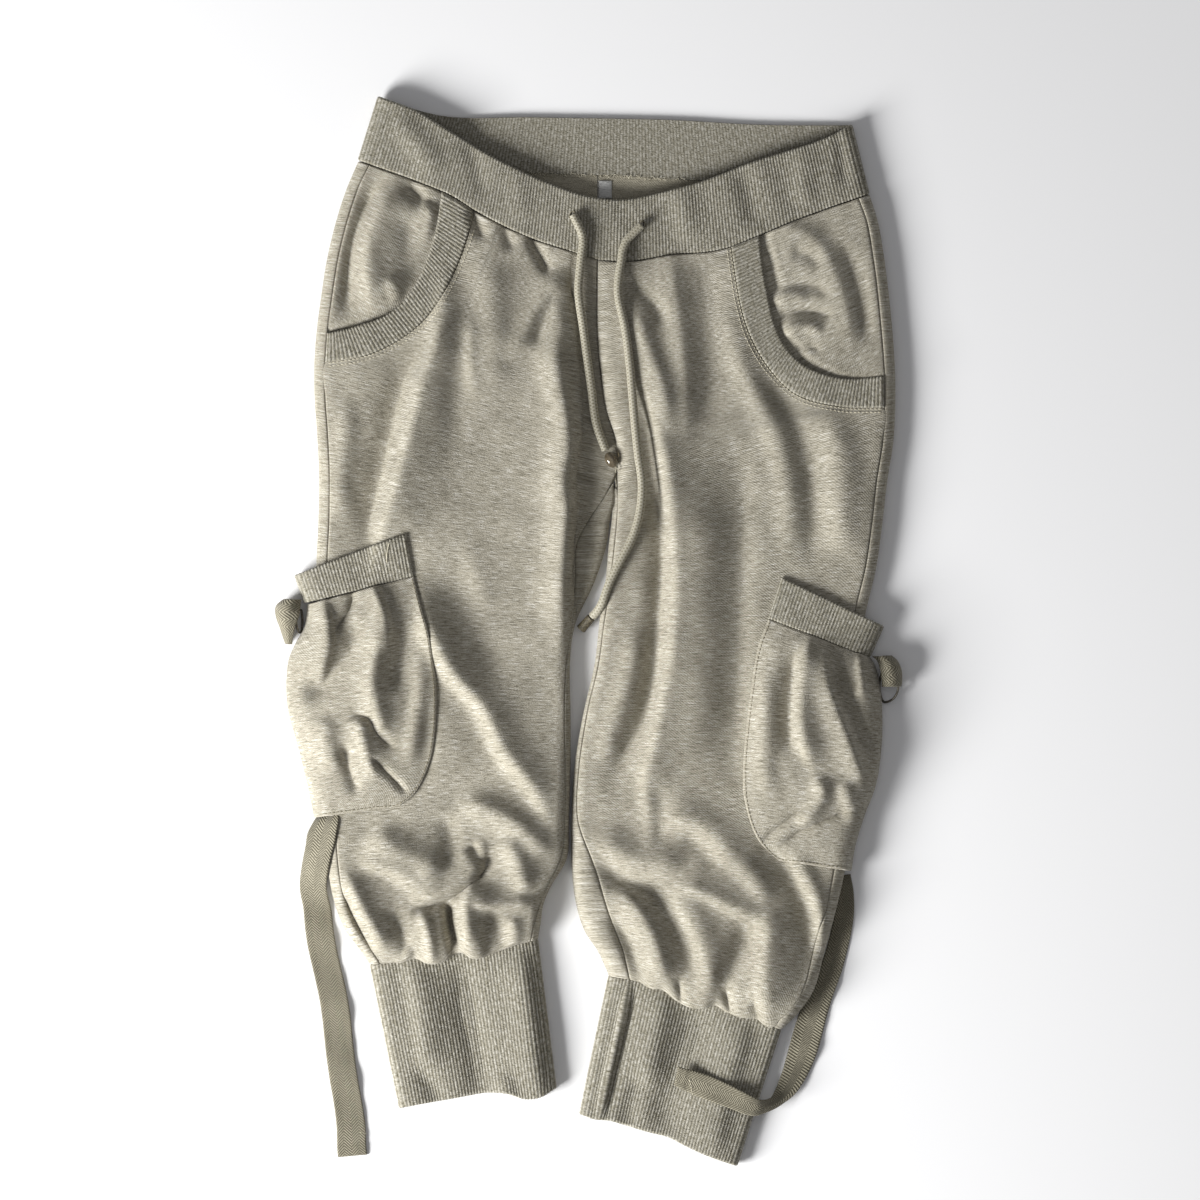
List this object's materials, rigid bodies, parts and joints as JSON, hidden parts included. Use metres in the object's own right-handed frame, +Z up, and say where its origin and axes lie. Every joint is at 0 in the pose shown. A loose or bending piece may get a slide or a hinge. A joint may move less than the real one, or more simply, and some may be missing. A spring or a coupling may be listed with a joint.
{
  "type": "drawstring cargo capri pants",
  "caption": "Grey-beige jersey cargo capri pants laid flat, with rib waistband and cuffs, pleated side pockets, twill tapes and a long drawstring.",
  "frame": {"origin": "middle of the bounding box, on the surface the garment lies on", "axes": "+X to the garment's right as it lies, +Y from the cuffs to the waist, +Z up, out of the garment's front"},
  "size_m": [0.4697, 0.8022, 0.0264],
  "materials": {
    "cotton_jersey": "matt",
    "rib_knit": "matt",
    "twill_tape": "matt",
    "braided_cord": "matt",
    "wrapped_tip": "satin",
    "amber_bead": "gloss",
    "wire_metal": "polished",
    "label_satin": "satin"
  },
  "bodies": {
    "root": {"waistband": "rib_knit", "inner_label": "label_satin", "front_panel_left": "cotton_jersey", "front_panel_right": "cotton_jersey", "back_panel_left": "cotton_jersey", "back_panel_right": "cotton_jersey", "cuff_left": "rib_knit", "cuff_right": "rib_knit", "hip_pocket_trim_left": "rib_knit", "hip_pocket_trim_right": "rib_knit", "hip_pocket_side_left": "cotton_jersey", "hip_pocket_side_right": "cotton_jersey", "cargo_pocket_band_left": "rib_knit", "cargo_pocket_band_right": "rib_knit", "cargo_pocket_bag_left": "cotton_jersey", "cargo_pocket_bag_right": "cotton_jersey", "tape_loop_left": "twill_tape", "tape_loop_right": "twill_tape", "long_tape_left": "twill_tape", "long_tape_right": "twill_tape", "wire_ring_left": "wire_metal", "wire_ring_right": "wire_metal", "drawcord_left": "braided_cord", "drawcord_right": "braided_cord", "cord_tip_right": "wrapped_tip", "cord_bead_left": "amber_bead"}
  },
  "joints": []
}
